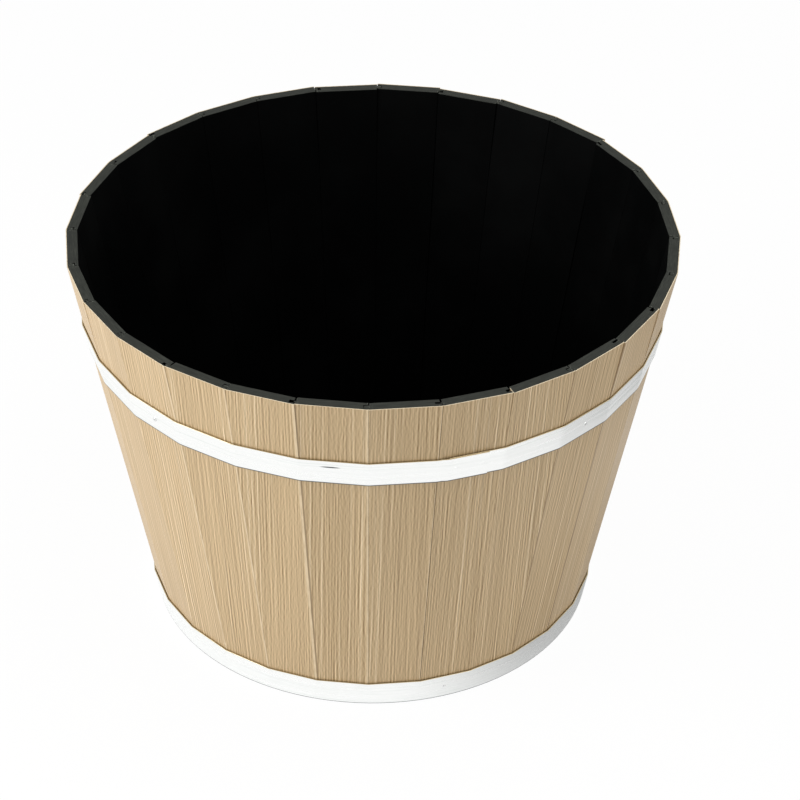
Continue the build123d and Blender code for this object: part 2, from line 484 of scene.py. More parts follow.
@dataclass(frozen=True)
class OakFilm:
    """Satin film with a straight, fine oak grain that runs down each board, a painted highlight along its
    end edge and a painted shade line along its start edge.
    """

    ground: Colour = (0.500, 0.360, 0.196)
    # cream and brown also paint the highlight and the shade line along the long edges
    cream: Colour = (0.700, 0.560, 0.365)
    brown: Colour = (0.270, 0.180, 0.092)
    roughness: float = 0.46
    specular: float = 0.5
    fibres: tuple[Streak, ...] = (Streak(520, 100, 0.60), Streak(560, 14, 0.90),
                                  Streak(480, 2.5, 0.80))
    cloud: Streak = Streak(60, 3.0, 0.22)
    pale_streak: Streak = Streak(480, 1.0, 0.50)
    dark_streak: Streak = Streak(500, 1.6, 0.36)
    pale_range: Pair = (0.59, 0.72)     # noise levels where a pale streak begins and is full
    dark_range: Pair = (0.59, 0.74)     # the same for a dark streak
    streak_noise: Noise = Noise(1.0, 1.0)
    crisp: float = 0.8                  # a fibre stands out against the noise this many cells beside it
    wander: float = 0.4 * MM            # how far the grain strays sideways
    wander_cells: Pair = (14.0, 7.0)    # cells in a metre, across and along, in which it strays
    seed_step: float = 7.31             # sets each board's pattern apart from the next one's
    board_tone: float = 0.02            # how much lighter or darker a whole board is
    tints: Colour = (1.0, 1.12, 1.38)   # how much more the grain varies in each colour
    edge_fade: Pair = (0.7, 1.3)        # line widths from an edge between which its line fades out
    edge_highlight: float = 0.9              # strength of the painted highlight along the end edge
    edge_shade: float = 0.8             # strength of the painted shade line along the start edge
    highlight_gap_cells: float = 60.0            # gaps in the painted highlight in a metre
    # the painted highlight's strength, from half to full, over the noise of its gaps
    wear_and_highlight_gaps: Fade = (0.3, 0.7, 0.5, 1.0)
    relief: Pair = (0.08, 0.1 * MM)     # how much of the grain's relief shows, and its height

    def material(self) -> bpy.types.Material:
        """Returns the finish of the film's face."""
        bench = NodeBench("oak_film")
        u, v = bench.on_map(GRAIN)
        board = bench.math("ROUND", u)
        seed = bench.math("MULTIPLY", board, self.seed_step)
        across = bench.math("SUBTRACT", u, board)
        drift = bench.noise(bench.stretch((across, v, seed), (*self.wander_cells, 1.0)),
                            self.streak_noise)
        across = bench.math("MULTIPLY_ADD", drift, self.wander, across)
        tone = bench.node("TexWhiteNoise", noise_dimensions="1D")
        bench.feed(tone.inputs["W"], board)
        light = bench.span(tone.outputs[0], 0.0, 1.0, -self.board_tone, self.board_tone, "LINEAR")
        cloud = bench.math("SUBTRACT", self.stripe(bench, across, v, seed, self.cloud), 0.5)
        light = bench.math("MULTIPLY_ADD", cloud, self.cloud.strength, light)
        for streak in self.fibres:
            for shift, share in ((0.0, 1.0), (-self.crisp, -0.5), (self.crisp, -0.5)):
                beside = bench.math("ADD", across, shift / streak.fine)
                light = bench.math("MULTIPLY_ADD", self.stripe(bench, beside, v, seed, streak),
                                   share * streak.strength, light)
        colour = self.ground
        for streak, noise_range, tint in ((self.pale_streak, self.pale_range, self.cream),
                                          (self.dark_streak, self.dark_range, self.brown)):
            strength = bench.span(self.stripe(bench, across, v, seed, streak), *noise_range,
                                  0.0, streak.strength)
            colour = bench.mix(strength, colour, tint)
        lights = [bench.math("MULTIPLY_ADD", light, tint, 1.0) for tint in self.tints]
        colour = bench.mix(1.0, colour, bench.vector(*lights), "MULTIPLY")
        colour = self.painted_edge_lines(bench, colour, v, seed)
        bench.bump(light, *self.relief)
        return bench.dress(Base_Color=colour, Specular_IOR_Level=self.specular,
                           Roughness=self.roughness)

    def stripe(self, bench: NodeBench, across: bpy.types.NodeSocket, along: bpy.types.NodeSocket,
               seed: bpy.types.NodeSocket, streak: Streak) -> bpy.types.NodeSocket:
        """Adds a noise drawn out along the grain.

        Args:
            bench: the material's nodes.
            across: metres across the board.
            along: metres along it.
            seed: a number that differs from board to board.
            streak: how fine the noise is.

        Returns:
            The noise's output.
        """
        layer = bench.math("ADD", seed, streak.fine)
        spot = bench.stretch((across, along, layer), (streak.fine, streak.long, 1.0))
        return bench.noise(spot, self.streak_noise)

    def painted_edge_lines(self, bench: NodeBench, colour: bpy.types.NodeSocket,
                   along: bpy.types.NodeSocket, seed: bpy.types.NodeSocket) -> bpy.types.NodeSocket:
        """Draws the painted highlight, with gaps, along the end edge and the painted shade line along the
        start edge.

        Args:
            bench: the material's nodes.
            colour: the grain's colour.
            along: metres along the board.
            seed: a number that differs from board to board.

        Returns:
            The colour with both lines.
        """
        end, start = bench.on_map(EDGES)
        wear_and_highlight_gap_noise = bench.noise(bench.stretch((0.0, along, seed), (1.0, self.highlight_gap_cells, 1.0)))
        # painted highlight along the end edge, with gaps
        pale = bench.math("MULTIPLY", bench.span(end, *self.edge_fade, self.edge_highlight, 0.0),
                          bench.span(wear_and_highlight_gap_noise, *self.wear_and_highlight_gaps))
        colour = bench.mix(pale, colour, self.cream)
        # painted shade line along the start edge
        return bench.mix(bench.span(start, *self.edge_fade, self.edge_shade, 0.0), colour, self.brown)


@dataclass(frozen=True)
class FilmEdge:
    """The pale cut edge of the film."""

    colour: Colour = (0.70, 0.60, 0.43)
    dirt: Colour = (0.45, 0.36, 0.25)
    wear_and_highlight_gaps: Noise = Noise(260.0, 2.0, 0.6)
    dirt_range: Pair = (0.45, 0.75)
    roughness: float = 0.6

    def material(self) -> bpy.types.Material:
        """Returns the finish."""
        bench = NodeBench("film_edge")
        wear_and_highlight_gap_noise = bench.noise(bench.place(), self.wear_and_highlight_gaps)
        colour = bench.mix(bench.span(wear_and_highlight_gap_noise, *self.dirt_range), self.colour, self.dirt)
        return bench.dress(Base_Color=colour, Roughness=self.roughness)


@dataclass(frozen=True)
class MouldedBlack:
    """The boards' smooth black resin, faintly ribbed along its length by the die."""

    colour: Colour = (0.0007, 0.0008, 0.0008)
    smear: Colour = (0.0015, 0.0017, 0.0016)
    dust: Colour = (0.02, 0.02, 0.019)
    rib_cells: Pair = (500.0, 3.0)      # cells in a metre, across and along
    smear_noise: Noise = Noise(9.0, 3.0, 0.6)
    dust_noise: Noise = Noise(420.0, 2.0, 0.7)
    smear_fade: Fade = (0.5, 0.8, 0.0, 0.6)
    dust_fade: Fade = (0.72, 0.80, 0.0, 0.3)
    roughness: Fade = (0.35, 0.7, 0.42, 0.58)
    specular: float = 0.04
    relief: Pair = (0.2, 0.1 * MM)

    def material(self) -> bpy.types.Material:
        """Returns the finish."""
        bench = NodeBench("moulded_black")
        rib = bench.noise(bench.stretch((*bench.on_map(GRAIN), 0.0), (*self.rib_cells, 1.0)))
        smear = bench.noise(bench.place(), self.smear_noise)
        dust = bench.noise(bench.place(), self.dust_noise)
        colour = bench.mix(bench.span(smear, *self.smear_fade), self.colour, self.smear)
        colour = bench.mix(bench.span(dust, *self.dust_fade), colour, self.dust)
        bench.bump(rib, *self.relief)
        return bench.dress(Base_Color=colour, Specular_IOR_Level=self.specular,
                           Roughness=bench.span(smear, *self.roughness))


@dataclass(frozen=True)
class SawnBlack:
    """The boards' sawn ends: greenish grey, streaked across the board by the blade."""

    colour: Colour = (0.0135, 0.0148, 0.0120)
    pale: Colour = (0.034, 0.037, 0.030)
    chip: Colour = (0.16, 0.17, 0.14)
    streak_cells: Pair = (60.0, 1500.0)     # cells in a metre, across the board and into its depth
    streak_start: float = 3.0               # picks one pattern of the streaks
    streak_noise: Noise = Noise(1.0, 2.0, 0.6)
    cloud_noise: Noise = Noise(60.0, 2.0, 0.5)
    crumb_noise: Noise = Noise(640.0, 1.0, 0.5)
    streak_range: Pair = (0.35, 0.70)
    cloud_fade: Fade = (0.45, 0.75, 0.0, 0.5)
    chip_range: Pair = (0.60, 0.72)
    chip_reach: Pair = (0.031, 0.036)       # metres from the middle line where the chips begin
    roughness: float = 0.6
    specular: float = 0.12
    relief: Pair = (0.35, 0.2 * MM)

    def material(self) -> bpy.types.Material:
        """Returns the finish."""
        bench = NodeBench("sawn_black")
        u, v = bench.on_map(GRAIN)
        streak = bench.noise(bench.stretch((u, v, self.streak_start), (*self.streak_cells, 1.0)),
                             self.streak_noise)
        cloud = bench.noise(bench.place(), self.cloud_noise)
        crumb = bench.noise(bench.place(), self.crumb_noise)
        colour = bench.mix(bench.span(streak, *self.streak_range), self.colour, self.pale)
        colour = bench.mix(bench.span(cloud, *self.cloud_fade), colour, self.colour)
        aside = bench.math("ABSOLUTE", bench.math("SUBTRACT", u, bench.math("ROUND", u)))
        ragged = bench.math("MULTIPLY", bench.span(aside, *self.chip_reach),
                            bench.span(crumb, *self.chip_range))
        colour = bench.mix(ragged, colour, self.chip)
        bench.bump(streak, *self.relief)
        return bench.dress(Base_Color=colour, Specular_IOR_Level=self.specular,
                           Roughness=self.roughness)


@dataclass(frozen=True)
class BrightStrip:
    """Bright metal strip with fine rolling lines along its length, and where asked, painted shade along
    its lower edge, a painted reflection of the oak film under its upper edge and a painted dark reflection
    of a dent.
    """

    name: str
    colour: Colour = (0.985, 0.995, 0.985)
    shade: Colour = (0.80, 0.85, 0.82)
    # painted shade along the lower edge and the painted dark reflection of a dent
    painted_dark: Colour = (0.10, 0.11, 0.12)
    # painted reflection of the oak film under the upper edge
    film_reflection: Colour = (0.55, 0.46, 0.29)
    line_cells: Place = (5.0, 5.0, 520.0)
    line_noise: Noise = Noise(1.0, 3.0, 0.6)
    line_fade: Fade = (0.50, 0.74, 0.0, 0.6)
    blotch_cells: Place = (1.0, 1.0, 2.0)
    blotch_noise: Noise = Noise(26.0, 2.0, 0.5)
    blotch_fade: Fade = (0.55, 0.8, 0.0, 0.2)
    roughness: Fade = (0.3, 0.7, 0.25, 0.40)
    relief: Pair = (0.12, 0.1 * MM)
    foot: float = 0.0               # the height of the strip's lower edge
    top: float = 1.0                # the height of its upper edge, under which the oak film's reflection is painted
    shade_band: float = 0.0           # how wide the painted shade band along the lower edge is
    shade_core: float = 0.6           # the share of that band that is fully dark
    film_reflection_band: Pair = (0.5 * MM, 0.1 * MM)  # below the upper edge, where the painted reflection of the oak film begins and is full
    dent_reflection: Vector | None = None     # the middle of a painted dark reflection of a dent on the strip's face
    dent_reflection_size: Place = (12.5 * MM, 12.5 * MM, 1.1 * MM)
    dent_reflection_core: float = 0.5         # the share of that painted reflection that is fully dark

    def material(self) -> bpy.types.Material:
        """Returns the finish."""
        bench = NodeBench(self.name)
        x, y, z = bench.apart(bench.place())
        line = bench.noise(bench.stretch((x, y, z), self.line_cells), self.line_noise)
        blotch = bench.noise(bench.stretch((x, y, z), self.blotch_cells), self.blotch_noise)
        factor = bench.math("ADD", bench.span(line, *self.line_fade),
                            bench.span(blotch, *self.blotch_fade))
        colour = bench.mix(factor, self.colour, self.shade)
        if self.shade_band:
            # painted shade along the lower edge
            painted_dark = bench.span(z, self.foot + self.shade_core * self.shade_band,
                              self.foot + self.shade_band, 1.0, 0.0)
            colour = bench.mix(painted_dark, colour, self.painted_dark)
            # painted reflection of the oak film under the upper edge
            mirrored_film = bench.span(z, *(self.top - depth for depth in self.film_reflection_band))
            colour = bench.mix(mirrored_film, colour, self.film_reflection)
        # painted dark reflection of a dent
        if self.dent_reflection:
            spots = [bench.math("DIVIDE", bench.math("SUBTRACT", place, middle), size)
                     for place, middle, size in zip((x, y, z), self.dent_reflection, self.dent_reflection_size)]
            away = bench.length(bench.vector(*spots))
            colour = bench.mix(bench.span(away, self.dent_reflection_core, 1.0, 1.0, 0.0), colour, self.painted_dark)
        bench.bump(line, *self.relief)
        return bench.dress(Base_Color=colour, Metallic=1.0,
                           Roughness=bench.span(line, *self.roughness))


@dataclass(frozen=True)
class DullSteel:
    """Dull galvanised or plated steel of the small fixings."""

    name: str
    colour: Colour
    roughness: float
    rough_spread: float = 0.1
    dark_share: float = 0.55        # the brightness of the dark spangles
    spangle_noise: Noise = Noise(900.0, 3.0, 0.7)
    wear_noise: Noise = Noise(260.0, 2.0, 0.5)
    spangle_range: Pair = (0.4, 0.7)
    wear_range: Pair = (0.3, 0.7)
    relief: Pair = (0.15, 0.05 * MM)

    def material(self) -> bpy.types.Material:
        """Returns the finish."""
        bench = NodeBench(self.name)
        spot = bench.place()
        spangle = bench.noise(spot, self.spangle_noise)
        wear_and_highlight_gap_noise = bench.noise(spot, self.wear_noise)
        dark = tuple(self.dark_share * channel for channel in self.colour)
        colour = bench.mix(bench.span(spangle, *self.spangle_range), self.colour, dark)
        bench.bump(spangle, *self.relief)
        roughness = bench.span(wear_and_highlight_gap_noise, *self.wear_range, self.roughness - self.rough_spread,
                               self.roughness + self.rough_spread)
        return bench.dress(Base_Color=colour, Metallic=1.0, Roughness=roughness)


@dataclass(frozen=True)
class HiddenResin:
    """Matt black resin of the floor boards and battens, with mould flow marks and dust."""

    name: str
    colour: Colour
    along_x: bool = True
    dust_share: float = 3.0         # the brightness of the dusty patches
    rib_cells: Pair = (4.0, 520.0)  # cells in a metre, along and across
    cloud_noise: Noise = Noise(14.0, 3.0, 0.6)
    cloud_fade: Fade = (0.45, 0.8, 0.0, 0.5)
    roughness: Fade = (0.3, 0.7, 0.45, 0.65)
    specular: float = 0.25
    relief: Pair = (0.3, 0.15 * MM)

    def material(self) -> bpy.types.Material:
        """Returns the finish."""
        bench = NodeBench(self.name)
        spot = bench.place()
        x, y, z = bench.apart(spot)
        ordered = (x, y, z) if self.along_x else (y, x, z)
        rib = bench.noise(bench.stretch(ordered, (*self.rib_cells, 1.0)))
        cloud = bench.noise(spot, self.cloud_noise)
        dusty = tuple(self.dust_share * channel for channel in self.colour)
        colour = bench.mix(bench.span(cloud, *self.cloud_fade), self.colour, dusty)
        bench.bump(rib, *self.relief)
        return bench.dress(Base_Color=colour, Specular_IOR_Level=self.specular,
                           Roughness=bench.span(cloud, *self.roughness))


@dataclass(frozen=True)
class Tub:
    """The tapered tub of 28 facets that every piece is fitted to. A facet faces +X before it is placed."""

    facets: int = 28
    rim_radius: float = 0.330
    foot_radius: float = 0.245
    height: float = 0.450
    board: float = 12.0 * MM

    @property
    def turn(self) -> float:
        """The angle of one facet, in radians."""
        return 2 * math.pi / self.facets

    @property
    def half(self) -> float:
        """Half the angle of one facet."""
        return self.turn / 2

    @property
    def taper(self) -> float:
        """How fast the corners move out with height."""
        return (self.rim_radius - self.foot_radius) / self.height

    @property
    def tilt(self) -> float:
        """How far a facet leans out, in radians."""
        return math.atan(self.taper * math.cos(self.half))

    def corner_radius(self, z: float) -> float:
        """Returns the distance from the axis to the outer corners at a height."""
        return self.foot_radius + self.taper * z

    def wall(self, z: float, inset: float) -> float:
        """Returns the distance from the axis to a plane inset under the outer face of a facet."""
        return self.corner_radius(z) * math.cos(self.half) - inset / math.cos(self.tilt)

    def spot(self, z: float, side: Side, inset: float, setback: float) -> Vector:
        """Finds a corner of a board's section.

        Args:
            z: the height.
            side: the joint that it lies at.
            inset: how far it lies under the outer face.
            setback: how far it is set back from the joint.

        Returns:
            The corner, on a facet that faces +X.
        """
        x = self.wall(z, inset)
        y = x * math.tan(self.half) - setback / math.cos(self.half)
        return Vector((x, side.value * y, z))

    def outward(self) -> Vector:
        """Returns the direction out of a facet that faces +X."""
        return Vector((math.cos(self.tilt), 0, -math.sin(self.tilt)))

    def facet(self, number: float) -> Matrix:
        """Returns the turn that takes a facet from +X to its place."""
        return Matrix.Rotation((number + 0.5) * self.turn, 4, "Z")

    def facet_spot(self, number: int, z: float, offset: float, across: float) -> Vector:
        """Finds a point on a facet in its place.

        Args:
            number: the facet, counted from +X.
            z: the height.
            offset: how far outside the wall it lies.
            across: how far it lies from the facet's middle line.

        Returns:
            The point.
        """
        return self.facet(number) @ Vector((self.wall(z, -offset), across, z))


Corner = tuple[Side, float, float]      # a section's corner: its joint, its depth and its setback


@dataclass(frozen=True)
class Fit:
    """How one stave sits in the tub and how its two joints are cut, in millimetres.

    Groove and tongue are given as their near and far depths under the outer face and a length.
    """

    rim_start: float = 0.0      # how far its start edge stands out at the rim
    rim_end: float = 0.0        # how far its end edge stands out at the rim
    groove: Pair = (3.7, 8.3)
    groove_length: float = 5.25
    tongue: Pair = (3.85, 8.15)
    tongue_length: float = 5.0
    outer_start: float = 0.06   # how far each lip is set back from the joint, minus if it reaches over
    outer_end: float = 0.06
    inner_start: float = 0.05
    inner_end: float = 0.3
    film_return: float = 1.2    # how deep the film is turned in over the start edge
    highlight_end: float = 0.3       # width of the painted highlight along the end edge
    shade_start: float = 0.2    # width of the painted shade line along the start edge
    skew: float = 0.0           # how far the grain runs off the board's line, in metres per metre


# How the staves lie in the picture, by the number of their facet. The others have a plain fit.
SEEN_FITS = {
    1: Fit(rim_end=0.3),
    2: Fit(rim_start=0.4, rim_end=-1.2, groove=(6.8, 9.4), groove_length=7.0, inner_end=1.4),
    3: Fit(rim_start=2.4, rim_end=0.2, tongue=(7.2, 9.0)),
    4: Fit(rim_end=1.4, outer_end=0.3, groove=(3.0, 5.2), groove_length=5.6),
    5: Fit(rim_start=-0.5, rim_end=-1.5, inner_end=0.9),
    6: Fit(rim_start=1.9, rim_end=1.6, outer_end=0.4),
    7: Fit(rim_start=-1.0, rim_end=-0.7, groove=(3.0, 7.4), groove_length=6.6, outer_end=0.6),
    8: Fit(rim_start=1.2, tongue_length=3.4),
    10: Fit(rim_end=1.5, outer_end=0.3, groove=(2.4, 5.2), groove_length=7.2),
    11: Fit(rim_start=-0.9, rim_end=0.2, groove=(4.6, 7.0), groove_length=7.0),
    12: Fit(rim_end=1.0, groove=(2.6, 5.0), groove_length=6.2, tongue=(4.8, 6.8)),
    13: Fit(rim_start=-0.4, rim_end=0.3, tongue=(3.0, 4.8)),
    14: Fit(rim_start=0.2, groove_length=5.4),
    15: Fit(rim_end=0.3, groove=(2.6, 5.6), groove_length=5.6, outer_end=0.4),
    16: Fit(rim_start=-0.3, rim_end=0.2, tongue=(2.8, 5.4), highlight_end=0.9, skew=-0.03),
    17: Fit(rim_end=0.3, groove=(1.7, 5.2), groove_length=5.4, inner_end=-2.4, highlight_end=2.3,
            film_return=1.0, skew=-0.05),
    18: Fit(rim_start=-0.3, inner_start=3.9, tongue=(2.4, 4.8), tongue_length=1.6,
            film_return=1.0, highlight_end=2.2, skew=-0.07),
    19: Fit(rim_end=0.3, groove=(3.0, 7.0), groove_length=6.4, inner_end=1.6, highlight_end=3.0,
            skew=-0.07),
    20: Fit(rim_start=-0.4, tongue=(3.4, 6.0), tongue_length=1.6, groove=(3.8, 8.0),
            groove_length=5.3, inner_end=0.7, highlight_end=2.2, shade_start=1.5, skew=-0.035),
    21: Fit(groove=(4.9, 7.3), groove_length=6.8, inner_end=1.5, outer_end=0.3, highlight_end=1.2),
    22: Fit(tongue=(5.1, 7.1), tongue_length=1.4, groove=(3.6, 7.2), groove_length=5.2,
            inner_end=1.2, outer_end=0.01, skew=0.02),
    23: Fit(rim_start=0.8, outer_start=0.01, inner_start=0.3, film_return=9.5,
            groove=(3.8, 8.2), groove_length=5.3, inner_end=0.5, skew=0.07),
    24: Fit(rim_start=0.2, rim_end=-0.4, groove=(6.3, 9.1), groove_length=7.8, shade_start=0.9),
    25: Fit(rim_start=1.0, tongue=(6.5, 8.9), film_return=3.4, groove=(3.4, 7.2),
            groove_length=6.8, inner_end=1.2, shade_start=2.6),
    26: Fit(rim_start=1.1, tongue=(4.4, 6.6), tongue_length=2.4, film_return=2.6),
    27: Fit(rim_start=0.2),
}


@dataclass
class Staves:
    """The 28 tongue-and-groove boards and the oak film on each."""

    tub: Tub
    film: float = 0.8 * MM
    return_thickness: float = 0.5 * MM  # of the film where it is turned in over the long edges
    end_return: float = 1.2             # millimetres that it is turned in over the end edge
    clearance: float = 0.05 * MM
    bend_height: float = 0.355          # behind the upper hoop, where a board bends out or in
    core_rounding: float = 0.2 * MM
    film_rounding: float = 0.45 * MM
    rounding_steps: int = 3
    blank_radius: float = 0.5           # of the plain ring that a section is drawn from
    line_reach: float = 0.05 * MM       # how near to a corner line an edge lies to be on it
    sawn_slope: float = 0.75            # faces whose normal rises or falls more are sawn
    made: list[bpy.types.Object] = field(default_factory=list)

    def lean(self, shape: Shaper, fit: Fit) -> None:
        """Moves the rim's corners out or in, as the board sits.

        Args:
            shape: the tools of the board or film.
            fit: how it sits.
        """
        top = self.tub.height - SAME
        for side, stand in ((Side.START, fit.rim_start), (Side.END, fit.rim_end)):
            if stand:
                shape.corners(lambda p: p.z > top and p.y * side.value > 0)
                shape.move(self.tub.outward() * stand * MM)

    def prism(self, name: str, section: list[Corner]) -> bpy.types.Object:
        """Models a tapered profile: its section drawn at the foot, raised to the rim and cut at the bend.

        Args:
            name: the piece's name.
            section: its corners in order round the section.

        Returns:
            The piece, facing +X.
        """
        tub = self.tub
        pick_only()
        bpy.ops.mesh.primitive_circle_add(vertices=len(section), radius=self.blank_radius,
                                          fill_type="NGON")
        piece = settled(name)
        feet = [tub.spot(0, *corner) for corner in section]
        rims = [tub.spot(tub.height, *corner) for corner in section]
        rise = Vector((0, 0, tub.height))
        with shaping(piece) as shape:
            for count, foot in enumerate(feet):
                angle = math.pi / 2 + 2 * math.pi * count / len(section)
                blank = self.blank_radius * Vector((math.cos(angle), math.sin(angle), 0))
                self.bring(shape, blank, foot)
            shape.all().extrude(rise)
            for foot, rim in zip(feet, rims):
                self.bring(shape, foot + rise, rim)
            shape.all()
            bpy.ops.mesh.normals_make_consistent(inside=False)
            shape.all().cut(Vector((0, 0, self.bend_height)), Vector((0, 0, 1)))
        return piece

    @staticmethod
    def bring(shape: Shaper, start: Vector, goal: Vector) -> None:
        """Moves the one corner at a place to another.

        Args:
            shape: the tools of the piece.
            start: where the corner is.
            goal: where it goes.
        """
        shape.corners(lambda p: (p - start).length < SAME).move(goal - start)

    def core(self, number: int, fit: Fit) -> bpy.types.Object:
        """Models one board with its tongue and its groove.

        Args:
            number: its facet.
            fit: how its joints are cut.

        Returns:
            The board, facing +X.
        """
        start, end = fit.outer_start * MM, fit.outer_end * MM
        ledge = self.return_thickness + self.clearance
        start_ledge, end_ledge = ((depth * MM + self.clearance) for depth in
                                  (fit.film_return, self.end_return))
        groove_near, groove_far = (depth * MM for depth in fit.groove)
        board = self.prism(f"stave_core_{number + 1:02d}", [
            *self.start_edge(fit, start, ledge, start_ledge),
            (Side.END, self.tub.board, fit.inner_end * MM), (Side.END, groove_far, fit.inner_end * MM),
            (Side.END, groove_far, fit.groove_length * MM),
            (Side.END, groove_near, fit.groove_length * MM), (Side.END, groove_near, end),
            (Side.END, end_ledge, end), (Side.END, end_ledge, end + ledge),
            (Side.END, self.film, end + ledge)])
        with shaping(board) as shape:
            self.lean(shape, fit)
        soften(board, self.core_rounding, 1)
        return board

    def start_edge(self, fit: Fit, start: float, ledge: float, depth: float) -> list[Corner]:
        """Draws a board's start edge, from its outer corner to its inner one.

        Args:
            fit: how its joints are cut.
            start: how far the edge is set back.
            ledge: the width of the ledge that the film's return fills.
            depth: the depth of that ledge.

        Returns:
            The corners.
        """
        near, far = (value * MM for value in fit.tongue)
        inner, tip = fit.inner_start * MM, -fit.tongue_length * MM
        corners = [(self.film, start + ledge), (depth, start + ledge), (depth, start)]
        if depth < near:
            corners += [(near, start), (near, tip), (far, tip), (far, inner)]
        corners.append((self.tub.board, inner))
        return [(Side.START, *corner) for corner in corners]

    def film_piece(self, number: int, fit: Fit) -> bpy.types.Object:
        """Models the film on one board, turned in over both long edges.

        Args:
            number: its facet.
            fit: how the board sits.

        Returns:
            The film, facing +X.
        """
        start, end = fit.outer_start * MM, fit.outer_end * MM
        wide, film = self.return_thickness, self.film
        start_depth, end_depth = fit.film_return * MM, self.end_return * MM
        sheet = self.prism(f"stave_film_{number + 1:02d}", [
            (Side.START, 0, start), (Side.START, start_depth, start),
            (Side.START, start_depth, start + wide), (Side.START, film, start + wide),
            (Side.END, film, end + wide), (Side.END, end_depth, end + wide),
            (Side.END, end_depth, end), (Side.END, 0, end)])
        outer = {side: self.tub.spot(0, side, 0, setback)
                 for side, setback in ((Side.START, start), (Side.END, end))}
        along = {side: (self.tub.spot(self.tub.height, side, 0, 0) -
                        self.tub.spot(0, side, 0, 0)).normalized() for side in Side}

        def long_edge(first: Vector, second: Vector) -> bool:
            """Says whether an edge runs along one of the film's outer corners."""
            return abs(first.z - second.z) > SAME and any(
                all((place - outer[side]).cross(along[side]).length < self.line_reach
                    for place in (first, second)) for side in Side)

        with shaping(sheet) as shape:
            shape.edges(long_edge).bevel(self.film_rounding, self.rounding_steps)
            self.lean(shape, fit)
        smooth(sheet)
        return sheet

    def lay_maps(self, piece: bpy.types.Object, number: int, fit: Fit) -> None:
        """Lays the grain's map and the map of the long edges.

        The first is across plus the board's number, and along, or depth on the sawn ends. The second
        is the distance from the end and the start edge over the width of the line there.

        Args:
            piece: the board or film, facing +X.
            number: its facet.
            fit: how the board is made.
        """
        grain = piece.data.uv_layers.new(name=GRAIN)
        edges = piece.data.uv_layers.new(name=EDGES)
        half = self.tub.half
        for face in piece.data.polygons:
            sawn = abs(face.normal.z) > self.sawn_slope
            for corner in face.loop_indices:
                spot = piece.data.vertices[piece.data.loops[corner].vertex_index].co
                across = number + spot.y
                grain.data[corner].uv = ((across, spot.x) if sawn
                                         else (across + fit.skew * spot.z, spot.z))
                reach = spot.x * math.tan(half)
                edges.data[corner].uv = ((reach - spot.y) * math.cos(half) / (fit.highlight_end * MM),
                                         (reach + spot.y) * math.cos(half) / (fit.shade_start * MM))

    def build(self) -> None:
        """Models, dresses and places all the boards and films."""
        black, sawn = MouldedBlack().material(), SawnBlack().material()
        face, edge = OakFilm().material(), FilmEdge().material()
        for number in range(self.tub.facets):
            fit = SEEN_FITS.get(number, Fit())
            for piece, finishes, slot, node in (
                    (self.core(number, fit), (black, sawn), Slot.CORE, f"stave_{number + 1:02d}"),
                    (self.film_piece(number, fit), (face, edge), Slot.FILM, "stave_skins")):
                self.lay_maps(piece, number, fit)
                for finish in finishes:
                    piece.data.materials.append(finish)
                for part in piece.data.polygons:
                    part.material_index = int(abs(part.normal.z) > self.sawn_slope)
                piece.data.transform(self.tub.facet(number))
                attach(piece, "root")
                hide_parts(node)
                self.made.append(piece)
        LOG.info("staves: %d boards and films", len(self.made))


